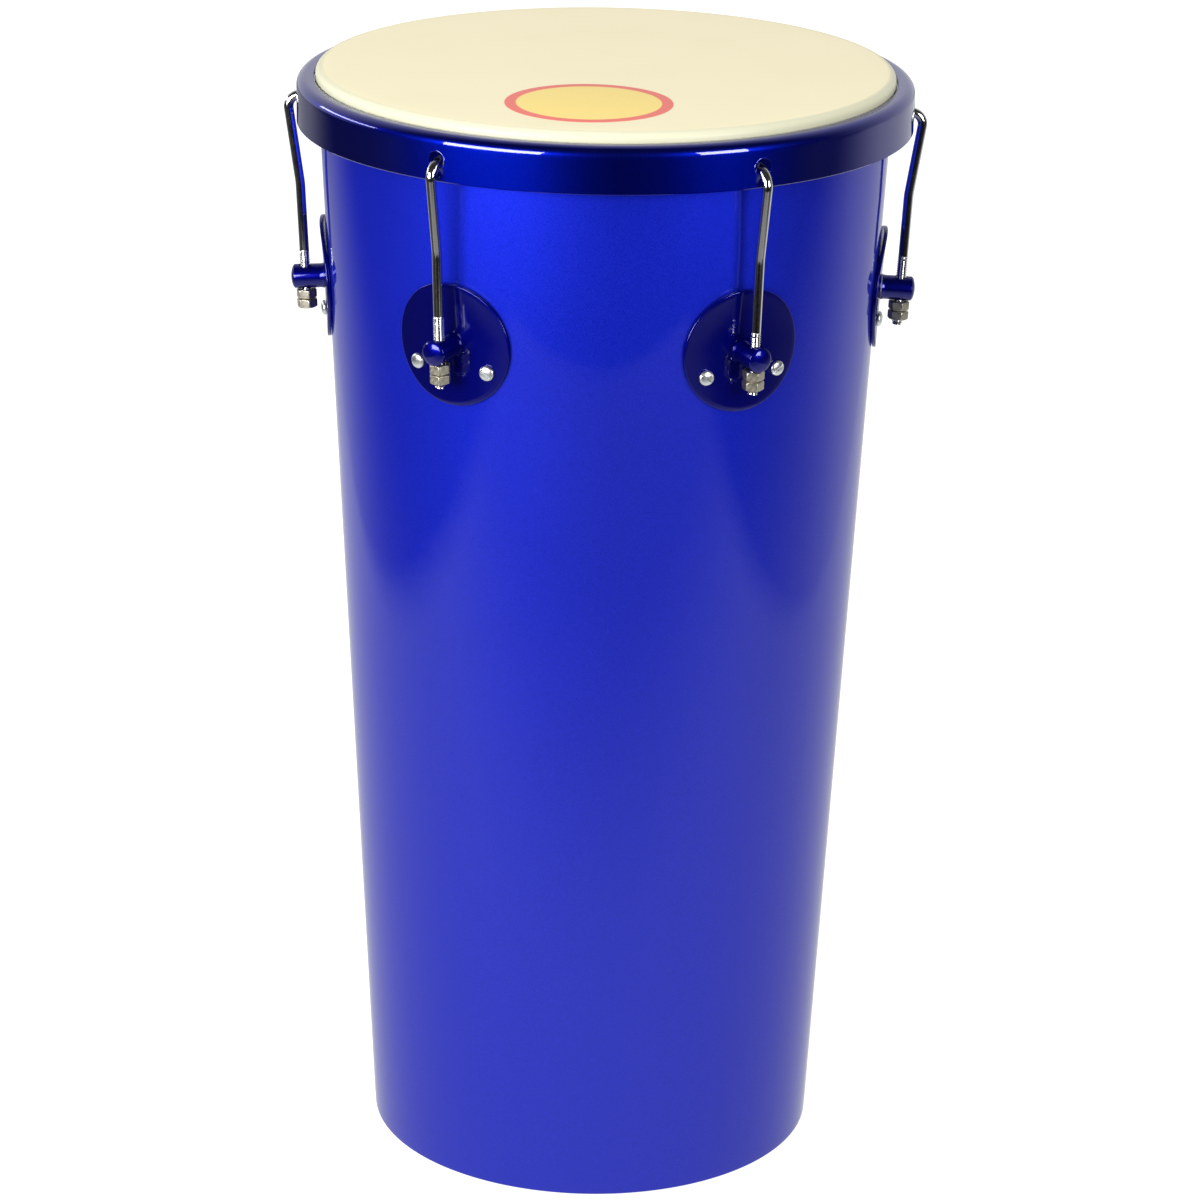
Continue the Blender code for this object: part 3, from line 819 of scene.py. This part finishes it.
def build_finishes():
    """One finish for each material slot of the record."""
    return {
        "shell_paint": lacquer(
            "shell_paint",
            colour=(0.0038, 0.0135, 0.4),
            flake=(0.0115, 0.0225, 0.54),
            metallic=0.65,
            roughness=0.48,
            coat=0.85,
        ),
        "hoop_paint": lacquer(
            "hoop_paint",
            colour=(0.0002, 0.0035, 0.21),
            flake=(0.0008, 0.007, 0.295),
            metallic=1.0,
            roughness=0.35,
            coat=1.0,
            coat_ior=1.65,
        ),
        "lug_paint": lacquer(
            "lug_paint",
            colour=(0.0003, 0.001, 0.13),
            flake=(0.001, 0.002, 0.185),
            metallic=0.8,
            roughness=0.38,
            coat=0.8,
            coat_roughness=0.09,
        ),
        "head_film": film_material(),
        "bare_aluminium": metal("bare_aluminium", (0.7, 0.7, 0.71), roughness=0.35, scale=60),
        "chrome": metal("chrome", (0.86, 0.86, 0.85), roughness=0.11, scale=300, wear=0.93),
        "nut_nickel": metal("nut_nickel", (0.68, 0.64, 0.52), roughness=0.36, scale=700, wear=0.65),
        "screw_zinc": metal("screw_zinc", (0.8, 0.83, 0.82), roughness=0.34, scale=500, wear=0.96),
    }


def add(name, mesh, finishes, slot, body, replaced=None, matrix=UPRIGHT):
    """Piece with its slot's finish, moved by a body, and in place of a solid where one is named."""
    made = placed(name, mesh)
    if not mesh.materials:
        mesh.materials.append(finishes[slot])
    made.matrix_world = matrix
    if replaced:
        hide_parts(replaced)
    if body:
        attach(made, body)
    return made


def build_shell(finishes, turns):
    holes = []
    for turn in turns:
        for hole in screw_holes("shell_hole"):
            hole.transform(turn)
            holes.append(hole)
    shell = carved("shell_body", turned("shell_body", shell_profile()), joined("holes", holes))
    add("shell_body", shell, finishes, "shell_paint", "shell", "shell")


def build_hoops(finishes, raised):
    hoop_way = Matrix.Translation((0, -HOOP_R, HOOP_HOLE_Z)) @ Matrix.Rotation(math.pi / 2, 4, "X")
    holes = []
    for lifted in raised:
        hole = cylinder("hoop_hole", HOOP_HOLE_R, -4 * HOOP_THICK, 2 * HOOP_THICK, hoop_way)
        hole.transform(lifted)
        holes.append(hole)
    hoop = carved("counter_hoop", turned("counter_hoop", hoop_profile()), joined("holes", holes))
    add("counter_hoop", hoop, finishes, "hoop_paint", "rim", "rim_hoop")
    flesh = turned("flesh_ring", flesh_profile())
    add("flesh_ring", flesh, finishes, "bare_aluminium", "rim", "flesh_hoop")


def build_head(finishes):
    """Film that stretches from the shell to the hoop, and the label on it."""
    skin = turned("head_skin", film_profile(), closed=False)
    film = add("head_skin", skin, finishes, "head_film", None, "drumhead")
    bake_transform(film)
    profile = [(0.0, LABEL_THICK)]
    profile += [(LABEL_R - inset, LABEL_THICK * share) for inset, share in LABEL_ROUND]
    profile += [(LABEL_R, 0.0), (0.0, 0.0)]
    label = turned("head_label", profile, closed=False, segments=LABEL_STEPS)
    label.materials.append(paper_material())
    place = Matrix.Translation((*LABEL_PLACE, FILM_TOP + LABEL_LIFT))
    add("head_label", label, finishes, "head_film", "shell", matrix=place)


def build_lugs(finishes, turns, raised):
    """Plates, posts, rods, nuts and screws of the six lugs."""
    plate = carved("plate", plate_mesh(), joined("plate_holes", screw_holes("plate_hole")))
    post = post_mesh()
    lip = lip_mesh()
    bore_r = THREAD_R + ROD_CLEAR
    nut = nut_mesh("nut", NUT_FLATS, NUT_HEIGHT, bore_r, NUT_CHAMFER, NUT_STEPS)
    screw = screw_mesh()
    inner_nut = nut_mesh(
        "inner_nut",
        INNER_NUT_FLATS,
        INNER_NUT_HEIGHT,
        SCREW_R + INNER_NUT_CLEAR,
        INNER_NUT_CHAMFER,
        INNER_NUT_STEPS,
    )
    crossing, along = rod_line()
    square = Matrix.Translation(outward(LUG_Z, 0.0)) @ Matrix.Rotation(math.pi / 2 + TILT, 4, "X")
    for k, turn in enumerate(turns):
        n = k + 1
        add(f"plate_{n}", plate, finishes, "lug_paint", "shell", f"lug_plate_{n}", turn)
        add(f"post_{n}", post, finishes, "lug_paint", "shell", f"lug_post_{n}", turn @ square)
        rod = hook_mesh(THREADS_SHOWN[k], THREAD_TAILS[k], ROD_RISES[k], ROD_TOP_BENDS[k])
        add(f"rod_{n}", rod, finishes, "chrome", "rim", f"hook_{n}", turn)
        add(f"hole_lip_{n}", lip, finishes, "hoop_paint", "rim", matrix=raised[k])
        nut_turn = Matrix.Rotation(math.radians(NUT_TURNS_DEG[k]), 4, "Z")
        lean = Matrix.Rotation(TILT, 4, "X") @ nut_turn
        for part, drop in (("tension_nut", TENSION_NUT_DROP), ("lock_nut", LOCK_NUT_DROP)):
            at = turn @ Matrix.Translation(crossing - along * drop) @ lean
            add(f"fine_{part}_{n}", nut, finishes, "nut_nickel", f"nuts_{n}", f"{part}_{n}", at)
        for side, word, slot_deg in zip((-1, 1), ("left", "right"), SLOT_TURNS_DEG[k]):
            wall = turn @ screw_frame(side)
            slot_turn = Matrix.Rotation(math.radians(slot_deg), 4, "Z")
            head = wall @ Matrix.Translation((0, 0, SCREW_SEAT)) @ slot_turn
            inside = wall @ Matrix.Translation((0, 0, -INNER_NUT_DEPTH))
            which = f"{n}_{word}"
            solid = f"plate_screw_{which}"
            add(f"screw_{which}", screw, finishes, "screw_zinc", "shell", solid, head)
            solid = f"screw_nut_{which}"
            add(f"inner_nut_{which}", inner_nut, finishes, "screw_zinc", "shell", solid, inside)


def build_object():
    finishes = build_finishes()
    lugs = [math.radians(LUG_FIRST_DEG + 360 / LUG_COUNT * k) for k in range(LUG_COUNT)]
    turns = [Matrix.Rotation(a, 4, "Z") for a in lugs]
    raised = [turn @ Matrix.Translation((0, 0, rise)) for turn, rise in zip(turns, ROD_RISES)]
    build_shell(finishes, turns)
    build_hoops(finishes, raised)
    build_head(finishes)
    build_lugs(finishes, turns, raised)


def mirrored_paper(tree):
    """Brightness of the floor in reflections, from a place on it."""
    where = tree.nodes.new("ShaderNodeTexCoord")
    split = tree.nodes.new("ShaderNodeSeparateXYZ")
    tree.links.new(where.outputs["Object"], split.inputs["Vector"])
    x, y = split.outputs["X"], split.outputs["Y"]
    aside = combined(tree, "ABSOLUTE", x)
    middle = ranged(tree, aside, *FLOOR_MIDDLE)
    wide = ranged(tree, weighed(tree, (x, y, aside), FLOOR_WIDE_WEIGHTS), *FLOOR_WIDE)
    left = ranged(tree, weighed(tree, (x, y), FLOOR_LEFT_WEIGHTS), *FLOOR_LEFT)
    paper = ranged(tree, y, *FLOOR_NEAR)
    for factor in (ranged(tree, y, *FLOOR_EDGE), combined(tree, "MAXIMUM", middle, wide), left):
        paper = combined(tree, "MULTIPLY", paper, factor)
    return paper


def build_floor():
    """White to the camera with a faint shadow; in reflections a white paper that ends in the dark."""
    made, tree, shader = new_material("floor")
    tree.nodes.remove(shader)
    mirrored = tree.nodes.new("ShaderNodeEmission")
    tree.links.new(mirrored_paper(tree), mirrored.inputs["Strength"])
    glow = tree.nodes.new("ShaderNodeEmission")
    glow.inputs["Strength"].default_value = FLOOR_GLOW
    shade = tree.nodes.new("ShaderNodeBsdfDiffuse")
    shade.inputs["Color"].default_value = FLOOR_SHADE
    seen = tree.nodes.new("ShaderNodeAddShader")
    tree.links.new(glow.outputs["Emission"], seen.inputs[0])
    tree.links.new(shade.outputs["BSDF"], seen.inputs[1])
    bounce = tree.nodes.new("ShaderNodeBsdfDiffuse")
    bounce.inputs["Color"].default_value = FLOOR_BOUNCE
    rays = tree.nodes.new("ShaderNodeLightPath").outputs
    unseen = mixed_shader(tree, rays["Is Glossy Ray"], bounce.outputs["BSDF"], mirrored.outputs["Emission"])
    whole = mixed_shader(tree, rays["Is Camera Ray"], unseen, seen.outputs["Shader"])
    tree.links.new(whole, tree.nodes["Material Output"].inputs["Surface"])
    bm = bmesh.new()
    bmesh.ops.create_circle(bm, cap_ends=True, segments=64, radius=FLOOR_R)
    floor = placed("floor", mesh_from("floor", bm))
    floor.data.materials.append(made)
    floor.location.z = FLOOR_Z


def build_world():
    """White to the camera; in reflections pale behind and dark in front; a soft ceiling for the rest."""
    world = bpy.data.worlds.new("studio")
    bpy.context.scene.world = world
    world.use_nodes = True
    tree = world.node_tree
    where = tree.nodes.new("ShaderNodeTexCoord")
    split = tree.nodes.new("ShaderNodeSeparateXYZ")
    tree.links.new(where.outputs["Generated"], split.inputs["Vector"])
    behind = ranged(tree, split.outputs["Y"], *WORLD_BEHIND)
    above = ranged(tree, split.outputs["Z"], *WORLD_ABOVE, eased=False)
    rays = tree.nodes.new("ShaderNodeLightPath").outputs
    unseen = mixed(tree, "FLOAT", rays["Is Glossy Ray"], above, behind)
    strength = mixed(tree, "FLOAT", rays["Is Camera Ray"], unseen, 1.0)
    background = tree.nodes["Background"]
    background.inputs["Color"].default_value = (1, 1, 1, 1)
    tree.links.new(strength, background.inputs["Strength"])


def lamp(name, azimuth_deg, elevation_deg, size, radiance):
    """Soft panel that faces the drum's head; azimuth counts from the camera's side to the right."""
    azimuth = math.radians(azimuth_deg)
    elevation = math.radians(elevation_deg)
    level = math.cos(elevation)
    out = Vector((math.sin(azimuth) * level, -math.cos(azimuth) * level, math.sin(elevation)))
    data = bpy.data.lights.new(name, "AREA")
    data.shape = "RECTANGLE"
    data.size, data.size_y = size
    data.energy = radiance * size[0] * size[1] * LAMP_WATTS
    made = placed(name, data)
    made.location = Vector((0, 0, LAMP_AIM)) + out * LAMP_DISTANCE
    made.rotation_euler = (-out).to_track_quat("-Z", "Y").to_euler()
    made.visible_camera = False


def build_camera():
    data = bpy.data.cameras.new("camera")
    data.sensor_width = CAMERA_SENSOR
    data.lens = CAMERA_LENS
    data.clip_start = 0.01
    camera = placed("camera", data)
    camera.matrix_world = (
        Matrix.Rotation(math.radians(CAMERA_AROUND_DEG), 4, "Z")
        @ Matrix.Translation((0, -CAMERA_BACK, CAMERA_HEIGHT))
        @ Matrix.Rotation(-CAMERA_YAW, 4, "Z")
        @ Matrix.Rotation(math.pi / 2 - CAMERA_PITCH, 4, "X")
        @ Matrix.Rotation(CAMERA_ROLL, 4, "Z")
    )
    bpy.context.scene.camera = camera


for thing in list(bpy.data.objects):
    bpy.data.objects.remove(thing)
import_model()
build_object()
build_floor()
build_world()
for row in LAMPS:
    lamp(*row)
build_camera()
bpy.context.scene.view_settings.view_transform = "Standard"
bpy.context.view_layer.update()
